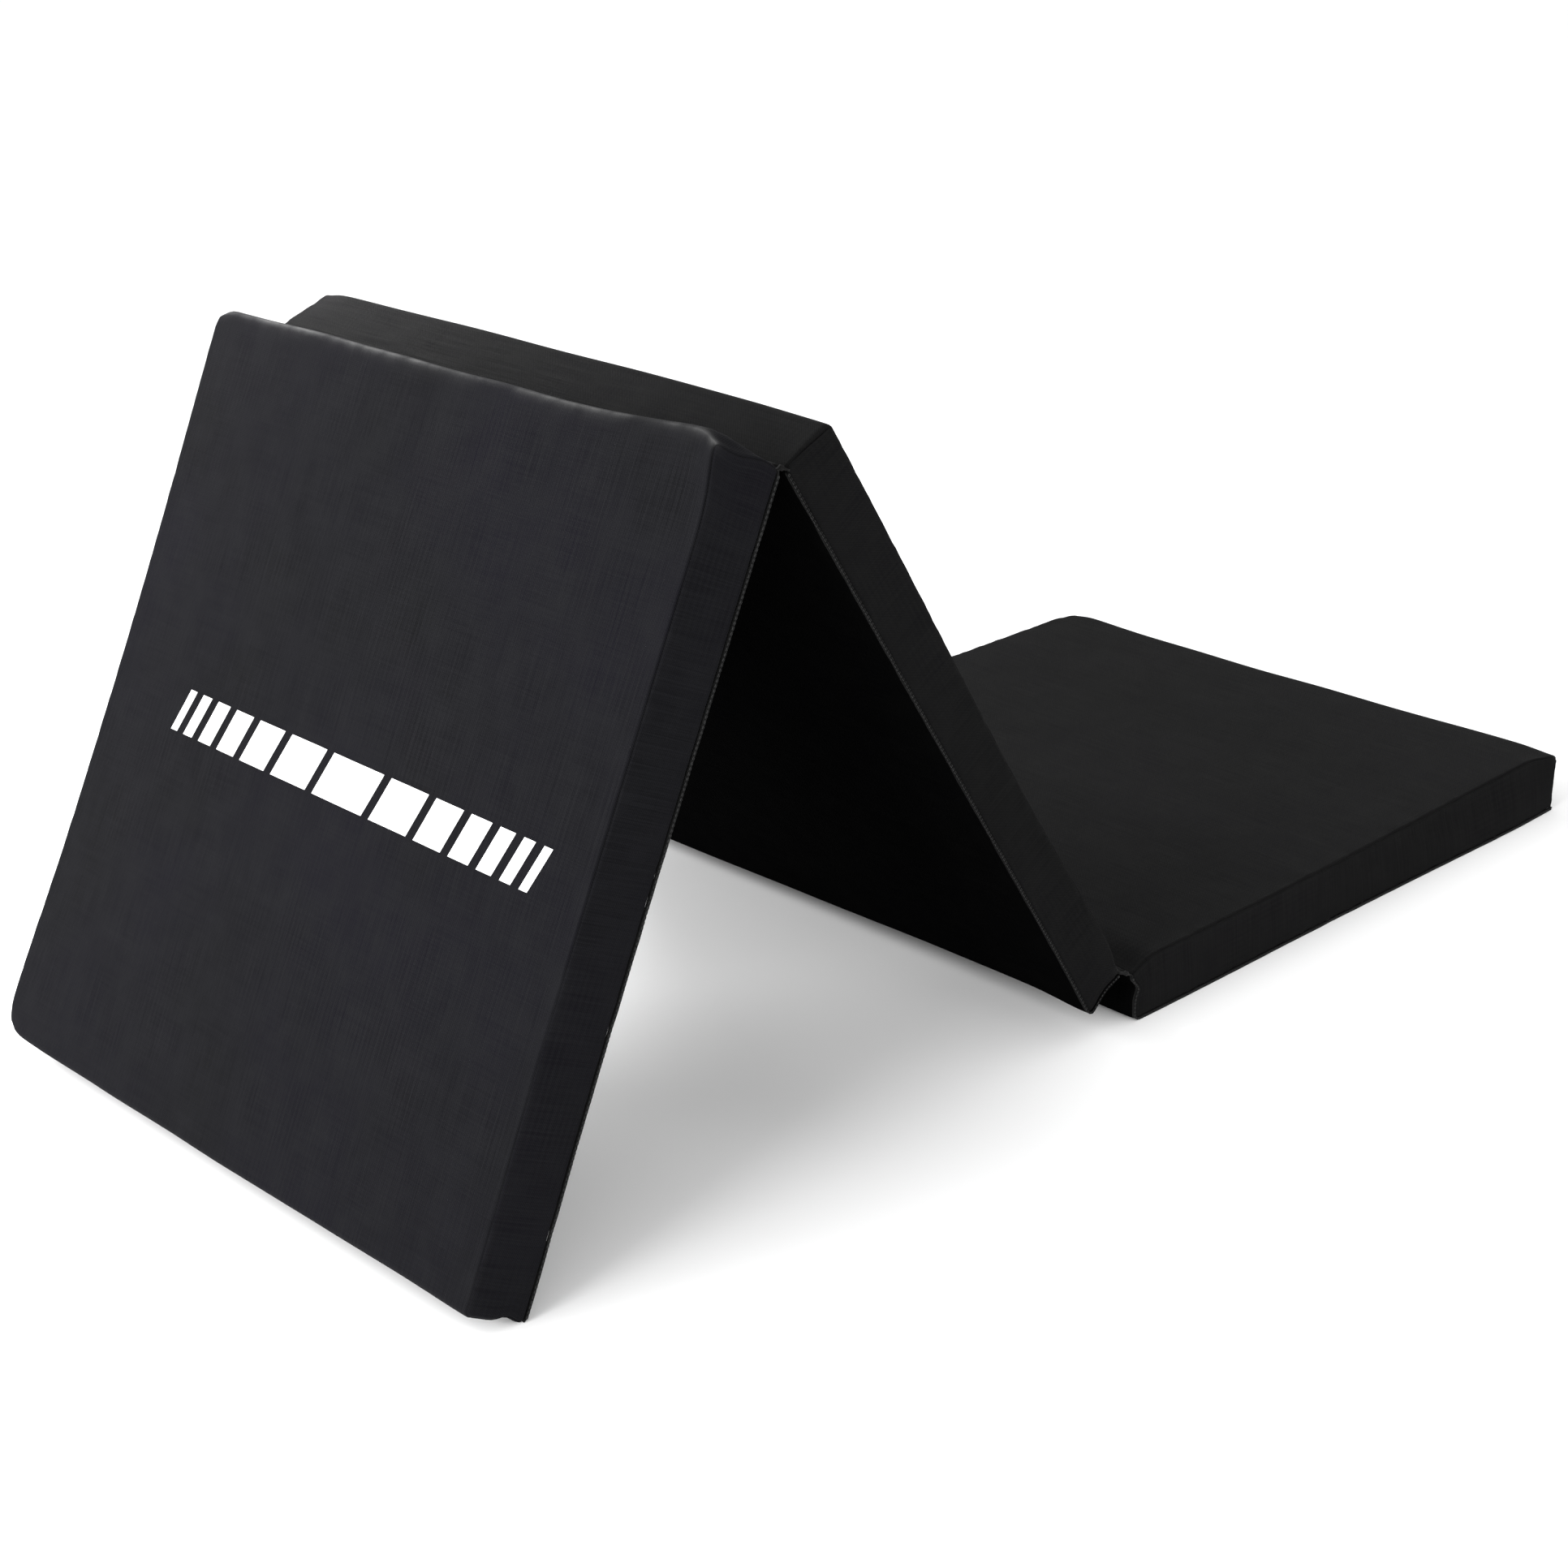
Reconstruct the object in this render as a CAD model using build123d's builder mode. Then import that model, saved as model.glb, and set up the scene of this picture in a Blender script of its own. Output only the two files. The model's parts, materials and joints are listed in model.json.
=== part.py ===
from build123d import *
from dataclasses import dataclass
from math import asin, atan2, cos, degrees, hypot, radians, sin, tan
import os

# Folding gym mat: three foam sections in sewn fabric covers, joined by two fabric hinges.
# The front and middle sections stand as a tent on the floor and the rear section lies flat.
# The front hinge is on the back side of the covers, the rear hinge on their face side, so the
# mat folds up like a Z. Each cover opens along a coil zip in its far side wall.
# Millimetres; +Z up, +X from the front section to the rear one, +Y across the mat. The origin
# is the centre of the face on which the rear section rests.

# ---- Driving dimensions ----
section_length = 594.0  # one cover, along the mat
mat_width = 600.0  # across the mat, bindings included
thickness = 50.0
hinge_gap = 9.0  # fabric between two sections: 3 sections and 2 gaps make 1800
fold_lift = 2.0  # each fold axis stands this far outside the covers, which swell a little
middle_tilt = radians(58.7)  # middle section against the floor

cloth = 1.0
core_slack = 0.2  # between foam and cloth
wrap_radius = 7.0  # where a sheet wraps round the foam
seam_radius = 2.0  # where the face sheet is sewn to the back sheet
binding_depth = 3.0  # the bound seams stand out of the side walls
binding_width = 2.4
welt_radius = 3.0
welt_clearance = 0.3
hinge_tape = 0.9

zip_window_length, zip_window_width = 540.0, 12.0
zip_gap = 0.4  # half the slit between the two rows of coil
zip_tape_length, zip_tape_width, zip_tape = 544.0, 13.6, 0.6
zip_tape_depth = 1.1  # outer face of the tapes, below the wall's surface
coil_length, coil_width, coil_height = 530.0, 2.6, 1.8
stop_length, stop_width, stop_clearance = 3.0, 6.0, 0.1
slider_length, slider_width, slider_plate = 10.5, 8.6, 1.2
slider_tail_width, slider_nose_length, slider_corner = 6.4, 2.5, 0.8
slider_position = 258.0  # from the middle of the zip, when it is closed
slider_roof = 1.0  # underside of the slider's top plate, above the wall
slider_flange_length, slider_flange, slider_flange_setback = 4.5, 1.0, 0.1
slider_flange_offset = 1.0  # towards the nose, from the slider's middle
slider_floor_length, slider_floor_width, slider_floor = 9.5, 7.2, 1.0
slider_floor_depth = 2.0  # top of the plate that runs behind the tapes
slider_web_length, slider_web, slider_web_position = 3.5, 0.5, 2.5
slider_clearance = 0.3
pin_height, pin_radius = 4.0, 0.7
lug_length, lug_thickness, lug_gap = 3.0, 0.9, 2.8
lug_above_pin = 1.0
pull_bore, pull_knuckle, pull_thickness = 0.85, 1.55, 1.0
pull_length, pull_width, pull_corner = 24.0, 6.0, 2.0
pull_neck_length, pull_neck = 3.6, 2.4
pull_hole, pull_hole_margin = 1.2, 4.0
zip_core_clearance = 4.0  # foam stands this far behind the far wall's surface

emblem_film = 0.3
emblem_position = (-1.0, -28.0)  # along and across the front section, from its centre
emblem_height = 34.0
emblem_bars = 13  # slanted bars in a row, each narrower than its neighbour nearer the middle
emblem_widest, emblem_taper = 61.0, 0.72
emblem_space = 9.0
emblem_slant = radians(20)

# ---- Worked out from them ----
pitch = section_length + hinge_gap
half_pitch = pitch / 2
half_length = section_length / 2
wall = mat_width / 2 - binding_depth  # outer surface of the side walls
sheet_edge = wall - cloth


@dataclass
class Section:
    """One section. Its frame starts in the middle of its back face, +X to the rear of the mat,
    +Z out of its face side. back_wall is the end wall, -1 or +1, that the back sheet covers
    (0 for neither), and zip_end the end where its zip is closed."""

    name: str
    frame: Plane
    back_wall: int
    zip_end: int

    @property
    def profile(self):
        """Plane of the section's side view: its x is along the section and its y is up."""
        return Plane(self.frame.origin, x_dir=self.frame.x_dir, z_dir=-self.frame.y_dir)

    @property
    def zip_frame(self):
        """Plane on the far wall: x runs to the closed end of the zip, z is out of the wall."""
        origin = self.frame.from_local_coords(Vector(0, wall, thickness / 2))
        return Plane(origin, x_dir=self.frame.x_dir * self.zip_end, z_dir=self.frame.y_dir)

    def seam_side(self, end):
        """Height of the seam corner at an end: on the face side if the back sheet covers it."""
        return thickness if end == self.back_wall else 0.0


def tilted(tilt, hinge, end, height):
    """Frame of a section that is tilted about +Y, from where it holds a fold axis: the axis is
    half a pitch from its middle, towards end, at height above its back face."""
    x_dir = Vector(cos(tilt), 0, -sin(tilt))
    z_dir = Vector(sin(tilt), 0, cos(tilt))
    return Plane(hinge - x_dir * (end * half_pitch) - z_dir * height, x_dir=x_dir, z_dir=z_dir)


rear_fold = Vector(-half_pitch, 0, thickness + fold_lift)
rear_frame = Plane((0, 0, 0), x_dir=(1, 0, 0), z_dir=(0, 0, 1))
middle_frame = tilted(middle_tilt, rear_fold, 1, thickness + fold_lift)
front_fold = middle_frame.from_local_coords(Vector(-half_pitch, 0, -fold_lift))

# The front section leans against the middle one with its lower seam corner on the floor.
reach = section_length + hinge_gap / 2 - seam_radius
offset_to_corner = seam_radius + fold_lift
front_tilt = asin((front_fold.Z - seam_radius) / hypot(reach, offset_to_corner)) + atan2(
    offset_to_corner, reach
)
front_frame = tilted(-front_tilt, front_fold, 1, -fold_lift)

front = Section("front", front_frame, back_wall=0, zip_end=1)
middle = Section("middle", middle_frame, back_wall=1, zip_end=-1)
rear = Section("rear", rear_frame, back_wall=-1, zip_end=1)
sections = (front, middle, rear)


def save(piece, name):
    piece.part.label = name
    export_step(piece.part, f"parts/{name}.step")


def outline(section, inset):
    """Side view of a section, inset from its surface: rounded where a sheet wraps round it,
    nearly sharp at the seams between the face sheet and the back sheet."""

    def corners(seam):
        for vertex in shape.vertices():
            end = 1 if vertex.X > 0 else -1
            at_top = vertex.Y > thickness / 2
            if (at_top == (section.seam_side(end) > 0)) == seam:
                yield vertex

    with BuildSketch() as shape:
        with Locations((0, thickness / 2)):
            Rectangle(section_length - 2 * inset, thickness - 2 * inset)
        fillet(list(corners(seam=False)), wrap_radius - inset)
        if inset < seam_radius:
            fillet(list(corners(seam=True)), seam_radius - inset)
    return shape.sketch


def back_region(section):
    """The part of the side view that belongs to the back sheet."""
    with BuildSketch() as region:
        Rectangle(section_length, seam_radius, align=(Align.CENTER, Align.MIN))
        if section.back_wall:
            with Locations((section.back_wall * (half_length - seam_radius / 2), 0)):
                Rectangle(seam_radius, thickness, align=(Align.CENTER, Align.MIN))
            corner = section.back_wall * (half_length - wrap_radius / 2)
            with Locations((corner, 0)):
                Rectangle(wrap_radius, wrap_radius, align=(Align.CENTER, Align.MIN))
    return region.sketch


def across(section, shape, start, end):
    """Extrudes a side view across the mat, from y = start to y = end."""
    with BuildPart() as body:
        with BuildSketch(section.profile.offset(-end)):
            add(shape)
        extrude(amount=end - start)
    return body


# ---- Covers and foam ----
def sheet_view(section, depth, keep_back):
    """Side view of one of the two sheets: a band along the outline, of the given depth."""
    outer, inner, region = outline(section, 0), outline(section, depth), back_region(section)
    with BuildSketch() as band:
        add(outer)
        add(inner, mode=Mode.SUBTRACT)
        add(region, mode=Mode.INTERSECT if keep_back else Mode.SUBTRACT)
    return band.sketch


def foam_core(section):
    core = outline(section, cloth + core_slack)
    far = wall - zip_core_clearance
    return across(section, core, core_slack - sheet_edge, far)


def far_gusset(section):
    """The far side wall, with a window for the zip."""
    plain = across(section, outline(section, 0), sheet_edge, wall)
    with BuildPart() as gusset:
        add(plain.part)
        with Locations(section.zip_frame.location):
            Box(zip_window_length, zip_window_width, 4 * cloth, mode=Mode.SUBTRACT)
    return gusset


for section in sections:
    name = section.name
    face_view = sheet_view(section, cloth, keep_back=False)
    back_view = sheet_view(section, cloth, keep_back=True)
    binding_view = sheet_view(section, binding_width, keep_back=True)
    save(foam_core(section), f"{name}_foam_core")
    save(across(section, face_view, -sheet_edge, sheet_edge), f"{name}_face_sheet")
    save(across(section, back_view, -sheet_edge, sheet_edge), f"{name}_back_sheet")
    save(across(section, outline(section, 0), -wall, -sheet_edge), f"{name}_near_gusset")
    save(far_gusset(section), f"{name}_far_gusset")
    save(across(section, binding_view, -mat_width / 2, -wall), f"{name}_near_binding")
    save(across(section, binding_view, wall, mat_width / 2), f"{name}_far_binding")


# ---- Fabric hinges ----
def fold_welt(axis_point):
    """The rolled seam allowance on a fold axis, sewn to the covers on both sides."""
    with BuildPart(Plane(axis_point, x_dir=(1, 0, 0), z_dir=(0, 1, 0))) as welt:
        Cylinder(welt_radius, 2 * sheet_edge)
    return welt


def fold_tape(section, end):
    """The strip between a section's seam corner and the welt, in one fold."""
    seam = section.seam_side(end)
    outward = 1 if seam else -1
    corner = Vector(end * (half_length - seam_radius), seam - outward * seam_radius)
    axis = Vector(end * half_pitch, seam + outward * fold_lift)
    to_corner = corner - axis
    start = welt_radius + welt_clearance
    stop = to_corner.length - seam_radius
    angle = degrees(atan2(to_corner.Y, to_corner.X))
    middle_of_strip = axis + to_corner.normalized() * ((start + stop) / 2)
    with BuildSketch() as strip:
        with Locations((middle_of_strip.X, middle_of_strip.Y)):
            Rectangle(stop - start, hinge_tape, rotation=angle)
    return across(section, strip.sketch, -sheet_edge, sheet_edge)


save(fold_welt(front_fold), "front_fold_welt")
save(fold_welt(rear_fold), "rear_fold_welt")
save(fold_tape(front, 1), "front_fold_tape")
save(fold_tape(middle, -1), "middle_front_fold_tape")
save(fold_tape(middle, 1), "middle_rear_fold_tape")
save(fold_tape(rear, -1), "rear_fold_tape")


# ---- Zips, each drawn in its zip_frame: x along the coil, y across it, z out of the wall ----
def zip_tapes(section):
    with BuildPart(section.zip_frame) as tapes:
        for side in (-1, 1):
            y = side * (zip_gap + zip_tape_width / 2)
            with Locations((0, y, -zip_tape_depth - zip_tape / 2)):
                Box(zip_tape_length, zip_tape_width, zip_tape)
    return tapes


def zip_coil(section):
    """The two rows of coil, a slit apart, which lets the slider's web pass between them."""
    with BuildPart(section.zip_frame) as coil:
        for side in (-1, 1):
            y = side * (zip_gap + coil_width / 2)
            with Locations((0, y, coil_height / 2 - zip_tape_depth)):
                Box(coil_length, coil_width, coil_height)
    return coil


def zip_stops(section):
    position = (coil_length + stop_length) / 2 + stop_clearance
    with BuildPart(section.zip_frame) as stops:
        with Locations(*[(end * position, 0, (slider_roof - zip_tape_depth) / 2) for end in (-1, 1)]):
            Box(stop_length, stop_width, slider_roof + zip_tape_depth)
    return stops


def zip_slider(section):
    frame = section.zip_frame
    origin = frame.from_local_coords(Vector(slider_position, 0, 0))
    plane = Plane(origin, frame.x_dir, frame.z_dir)
    nose, tail = slider_length / 2, -slider_length / 2
    flange_y = (slider_width - slider_flange) / 2 - slider_flange_setback
    flange_bottom = slider_clearance - zip_tape_depth
    floor_top = -slider_floor_depth
    lug_bottom, lug_top = slider_roof + slider_plate, pin_height + lug_above_pin
    with BuildPart(plane) as slider:
        with BuildSketch(plane.offset(slider_roof)) as top_plate:
            with BuildLine():
                Polyline(
                    (nose - slider_nose_length, slider_width / 2),
                    (tail, slider_tail_width / 2),
                    (tail, -slider_tail_width / 2),
                    (nose - slider_nose_length, -slider_width / 2),
                    (nose, 0),
                    close=True,
                )
            make_face()
            fillet(top_plate.vertices(), slider_corner)
        extrude(amount=slider_plate)
        with Locations((0, 0, floor_top - slider_floor / 2)):
            Box(slider_floor_length, slider_floor_width, slider_floor)
        flange_z = (slider_roof + flange_bottom) / 2
        with Locations(*[(slider_flange_offset, side * flange_y, flange_z) for side in (-1, 1)]):
            Box(slider_flange_length, slider_flange, slider_roof - flange_bottom)
        with Locations((slider_web_position, 0, (slider_roof + floor_top) / 2)):
            Box(slider_web_length, slider_web, slider_roof - floor_top)
        lug_y = (lug_gap + lug_thickness) / 2
        with Locations(*[(0, side * lug_y, (lug_bottom + lug_top) / 2) for side in (-1, 1)]):
            Box(lug_length, lug_thickness, lug_top - lug_bottom)
        with Locations((0, 0, pin_height)):
            Cylinder(pin_radius, lug_gap + 2 * lug_thickness, rotation=(90, 0, 0))
    return slider


def zip_pull(section):
    """The pull tab, lying along the zip, with its knuckle round the slider's pin."""
    frame = section.zip_frame
    origin = frame.from_local_coords(Vector(slider_position, 0, pin_height))
    plane = Plane(origin, frame.x_dir, frame.z_dir)
    tab_length = pull_length - pull_neck_length
    with BuildPart(plane) as pull:
        Cylinder(pull_knuckle, pull_neck, rotation=(90, 0, 0))
        with BuildSketch(plane.offset(-pull_thickness / 2)):
            with Locations((-pull_neck_length / 2 - pull_bore, 0)):
                Rectangle(pull_neck_length, pull_neck)
            with Locations((-pull_neck_length - tab_length / 2, 0)):
                RectangleRounded(tab_length, pull_width, pull_corner)
            with Locations((pull_hole_margin - pull_length, 0)):
                Circle(pull_hole, mode=Mode.SUBTRACT)
        extrude(amount=pull_thickness)
        Cylinder(pull_bore, pull_neck, rotation=(90, 0, 0), mode=Mode.SUBTRACT)
    return pull


for section in sections:
    save(zip_tapes(section), f"{section.name}_zip_tapes")
    save(zip_coil(section), f"{section.name}_zip_coil")
    save(zip_stops(section), f"{section.name}_zip_stops")
    save(zip_slider(section), f"{section.name}_zip_slider")
    save(zip_pull(section), f"{section.name}_zip_pull")


# ---- Printed film on the front section ----
def emblem():
    """A plain row of slanted bars."""
    from_middle = [abs(bar - emblem_bars // 2) for bar in range(emblem_bars)]
    widths = [emblem_widest * emblem_taper**steps for steps in from_middle]
    total = sum(widths) + emblem_space * (emblem_bars - 1)
    lean = emblem_height * tan(emblem_slant) / 2
    along, centre = emblem_position
    low, high = along - emblem_height / 2, along + emblem_height / 2
    with BuildPart() as film:
        with BuildSketch(front.frame.offset(thickness)):
            left = centre + total / 2
            for width in widths:
                right = left - width
                with BuildLine():
                    Polyline(
                        (low, left + lean),
                        (high, left - lean),
                        (high, right - lean),
                        (low, right + lean),
                        close=True,
                    )
                make_face()
                left = right - emblem_space
        extrude(amount=emblem_film)
    return film


save(emblem(), "front_emblem")

print(f"front tilt {degrees(front_tilt):.3f}, front fold axis at x {front_fold.X:.3f}, z {front_fold.Z:.3f}")
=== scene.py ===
import json
import math

import bmesh
import bpy
import numpy as np
from mathutils import Matrix, Vector


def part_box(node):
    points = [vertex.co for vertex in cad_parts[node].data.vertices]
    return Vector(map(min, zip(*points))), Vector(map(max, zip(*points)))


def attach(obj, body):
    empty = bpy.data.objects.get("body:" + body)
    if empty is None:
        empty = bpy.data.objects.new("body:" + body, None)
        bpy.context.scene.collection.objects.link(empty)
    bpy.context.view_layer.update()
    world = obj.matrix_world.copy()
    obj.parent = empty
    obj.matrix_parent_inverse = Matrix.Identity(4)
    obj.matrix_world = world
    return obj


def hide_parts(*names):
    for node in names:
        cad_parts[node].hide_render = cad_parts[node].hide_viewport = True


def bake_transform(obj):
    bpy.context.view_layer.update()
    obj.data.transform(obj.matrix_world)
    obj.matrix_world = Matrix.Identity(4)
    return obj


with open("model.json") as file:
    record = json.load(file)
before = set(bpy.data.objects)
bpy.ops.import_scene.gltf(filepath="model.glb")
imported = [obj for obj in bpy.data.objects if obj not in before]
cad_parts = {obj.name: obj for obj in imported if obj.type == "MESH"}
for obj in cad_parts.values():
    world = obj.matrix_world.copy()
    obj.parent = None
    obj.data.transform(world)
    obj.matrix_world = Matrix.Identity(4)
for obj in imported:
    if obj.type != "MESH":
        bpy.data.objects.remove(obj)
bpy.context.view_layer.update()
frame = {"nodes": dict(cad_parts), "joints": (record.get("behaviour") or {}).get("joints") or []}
scene = bpy.context.scene

# Looks of a folding gym mat: woven covers over three foam sections, with turned and bound seams,
# fabric hinges, coil zips and a print. Each section is built in its own frame: u runs along the
# section, v across the mat and w out of its face side, from the middle of its back face. Metres.

MM = 0.001
ACROSS = np.array([0.0, 1.0, 0.0])
NEAR, FAR = -1, 1  # the two side walls
WALL_NAMES = {NEAR: "near", FAR: "far"}
BACK, FACE = 0, 1  # the two sides of a section

joints = {joint["name"]: joint for joint in frame["joints"]}
rear_low, rear_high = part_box("rear_back_sheet")
HALF = (rear_high.x - rear_low.x) / 2
THICK = rear_high.z - rear_low.z
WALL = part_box("rear_far_gusset")[1].y
BINDING_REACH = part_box("rear_far_binding")[1].y - WALL
rear_axis = np.array(joints["fold_rear"]["pos_m"])
front_axis = np.array(joints["fold_front"]["pos_m"])
HALF_PITCH = -rear_axis[0]
LIFT = rear_axis[2] - THICK
middle_tilt = math.radians(-joints["fold_rear"]["range_deg"][0])
front_tilt = math.radians(-joints["fold_front"]["range_deg"][0]) - middle_tilt

ZIP_HALF = (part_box("rear_zip_tapes")[1].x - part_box("rear_zip_tapes")[0].x) / 2 - 2 * MM
ZIP_WINDOW = 6.0 * MM  # half the width of the opening that the zip closes

SIDE_RADIUS = 3.2 * MM  # foam edge under the seams along the side walls
SEAM_RADIUS = 3.5 * MM  # where the face sheet is sewn to the back sheet
WRAP_RADIUS = 5.5 * MM  # where a sheet wraps round the foam
CLOTH = 0.9 * MM
WEAVE_PITCH, TAPE_RIB_PITCH = 0.9 * MM, 0.8 * MM
FOAM_GAP = 2.2 * MM  # between the cover's outside and the foam
GROOVE_DEPTH, GROOVE_WIDTH = 1.5 * MM, 1.3 * MM
PUFF_LIMIT = 1.6 * MM  # the sections fold flat on each other with a small gap
PUFF_FRAMES = 20  # how long the cloth simulation runs
EDGE_STEPS = np.array([0, 0.6, 1.2, 1.9, 2.7, 3.7, 5.0, 6.6, 8.6, 11.2, 14.5]) * MM
GRID_STEP = 6.0 * MM


# ---- Sections ----
class Pull:
    """A place on a section where the cover bulges, sags or is drawn in: by how much, and how wide
    around it in each direction."""

    def __init__(self, at, by, reach):
        self.at = np.array(at)
        self.by = np.array(by) * MM
        self.reach = np.array(reach) * MM

    def shift(self, box):
        fall = (((box - self.at) / self.reach) ** 2).sum(axis=1)
        return np.exp(-fall)[:, None] * self.by


class Section:
    """A section's place, the corners where its two sheets meet, and how its cover sags."""

    def __init__(
        self, name, tilt, axis, axis_end, axis_height, seams, pucker, pulls, seed, gape=0.0, corners=(),
        groove_fade=None,
    ):
        self.name = name
        self.x = np.array([math.cos(tilt), 0, -math.sin(tilt)])
        self.z = np.array([math.sin(tilt), 0, math.cos(tilt)])
        self.origin = axis - self.x * axis_end * HALF_PITCH - self.z * axis_height
        self.seams = seams  # the side on which the sheets meet, at the -u end and at the +u end
        self.pucker = pucker
        self.pulls = pulls
        self.seed = seed
        self.gape = gape  # how much deeper the end seams are drawn in than the others
        self.corners = corners  # (end, wall, radius) of corners that are round in plan
        self.groove_fade = groove_fade  # u below which the face's seam hardly shows
        self.puff = None  # set once the cloth simulation has run

    def world(self, local):
        u, v, w = local.T
        return self.origin + np.outer(u, self.x) + np.outer(v, ACROSS) + np.outer(w, self.z)

    def direction(self, local):
        u, v, w = local.T
        return np.outer(u, self.x) + np.outer(v, ACROSS) + np.outer(w, self.z)

    def corner_path(self, side):
        """The side view's corners that one sheet runs along, from its seam at -u to that at +u."""
        first, last = self.seams
        path = [(-1, first)]
        if first != side:
            path.append((-1, side))
        if last != side:
            path.append((1, side))
        return path + [(1, last)]


EVERYWHERE = math.inf
front = Section(
    "front", -front_tilt, front_axis, 1, -LIFT, (BACK, BACK), 0.1 * MM,
    [
        Pull((0, 0, THICK), (0, 0, 3.5), (EVERYWHERE, EVERYWHERE, 30)),
        Pull((HALF, 0, THICK), (7.5, 0, 0), (50, EVERYWHERE, 26)),
        Pull((HALF, -WALL, THICK), (5, 0, 0), (50, 100, 26)),
        Pull((HALF, WALL, THICK), (-2, 0, 0), (50, 90, 26)),
        Pull((0, -WALL, 0), (0, -3.5, 0), (EVERYWHERE, 60, 60)),
        Pull((HALF, -WALL, THICK), (-2, 9, 0), (30, 26, 24)),
        Pull((HALF, -WALL, 24 * MM), (9, 0, 0), (26, 80, 24)),
        Pull((HALF, -WALL, 34 * MM), (-10, 0, 0), (30, 12, 18)),
        Pull((100 * MM, WALL, THICK), (0, -6.5, 0), (240, 80, 14)),
        Pull((-HALF, WALL, THICK), (0, 9.3, 0), (125, 80, 14)),
        Pull((-HALF, 0, THICK), (-1, 0, 0), (60, 300, 40)),
        Pull((-HALF, -WALL, THICK / 2), (-1.5, -3.5, 0), (110, 60, 60)),
        Pull((-HALF, -WALL, THICK), (3, 0, 0), (60, 150, 30)),
        Pull((-HALF, -WALL, 16 * MM), (3.5, 0, 0), (18, 22, 7)),
        Pull((-HALF, WALL, THICK), (3, -3, -2), (16, 14, 18)),
    ],
    3, corners=((1, FAR, 20 * MM), (-1, FAR, 12 * MM)), groove_fade=60 * MM,
)
middle = Section(
    "middle", middle_tilt, rear_axis, 1, THICK + LIFT, (BACK, FACE), 0.15 * MM,
    [
        Pull((-HALF, -60 * MM, THICK), (-2.5, 0, 0), (60, 260, 40)),
        Pull((-HALF, -WALL, THICK), (3.5, -1.5, 0), (20, 60, 26)),
        Pull((-HALF, WALL, THICK), (4, -7, -1), (24, 24, 30)),
        Pull((60 * MM, -WALL, THICK), (0, 0, -5), (200, 110, 30)),
        Pull((HALF, 0, 0), (3, 0, -0.5), (60, EVERYWHERE, 40)),
        Pull((HALF, WALL, 0), (9, 0, -2), (60, 330, 30)),
        Pull((HALF, -WALL, 0), (4, -2, -2), (30, 40, 20)),
        Pull((HALF, -WALL, THICK), (7, 0, -5), (18, 40, 24)),
    ],
    5, gape=2.4,
)
rear = Section(
    "rear", 0.0, rear_axis, -1, THICK + LIFT, (FACE, BACK), 0.25 * MM,
    [
        Pull((HALF, 0, THICK), (8, 0, 0.8), (70, EVERYWHERE, 30)),
        Pull((HALF, -WALL, THICK), (0, 14, 0), (270, 60, 26)),
        Pull((HALF, -WALL, THICK), (7.5, 0, 1.2), (120, 230, 30)),
        Pull((0, WALL, THICK), (0, 6, 2.2), (EVERYWHERE, 70, 10)),
        Pull((HALF, -WALL, THICK), (2, -6, -3), (20, 22, 22)),
        Pull((HALF, -WALL, 0), (6, 3, 0), (40, 60, 24)),
        Pull((HALF, WALL, THICK), (-4, -5, -1.5), (18, 18, 20)),
        Pull((-HALF, -WALL, 0), (0, -5.5, 0), (220, 50, 60)),
        Pull((-HALF, WALL, 0), (5, 0, 0), (40, 330, 26)),
        Pull((-HALF, -WALL, THICK), (-1, 0, -9), (16, 40, 20)),
        Pull((-HALF, -WALL, 31 * MM), (6, 0, 0), (14, 36, 9)),
    ],
    7,
)
sections = (front, middle, rear)


# ---- Smooth pseudo-random waves, the same each run ----
def ripple(along, seed, longest, shortest=None, waves=6):
    """A sum of sines of mixed length along a line, between about -1 and 1."""
    draw = np.random.default_rng(seed)
    lengths = np.geomspace(longest, shortest or longest / 3, waves)
    total = sum(np.sin(2 * np.pi * (along / length + draw.random())) for length in lengths)
    return total / math.sqrt(waves)


def swell(a, b, seed, longest, shortest, waves=9):
    """The same over a surface: sines that run in mixed directions."""
    draw = np.random.default_rng(seed)
    total = 0
    for length in np.geomspace(longest, shortest, waves):
        turn = draw.random() * 2 * np.pi
        total = total + np.sin(2 * np.pi * ((a * np.cos(turn) + b * np.sin(turn)) / length + draw.random()))
    return total / math.sqrt(waves)


def smooth_step(value, low, high):
    """Zero at low, one at high, and smooth between; low may be the larger."""
    share = np.clip((value - low) / (high - low), 0, 1)
    return share * share * (3 - 2 * share)


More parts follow.
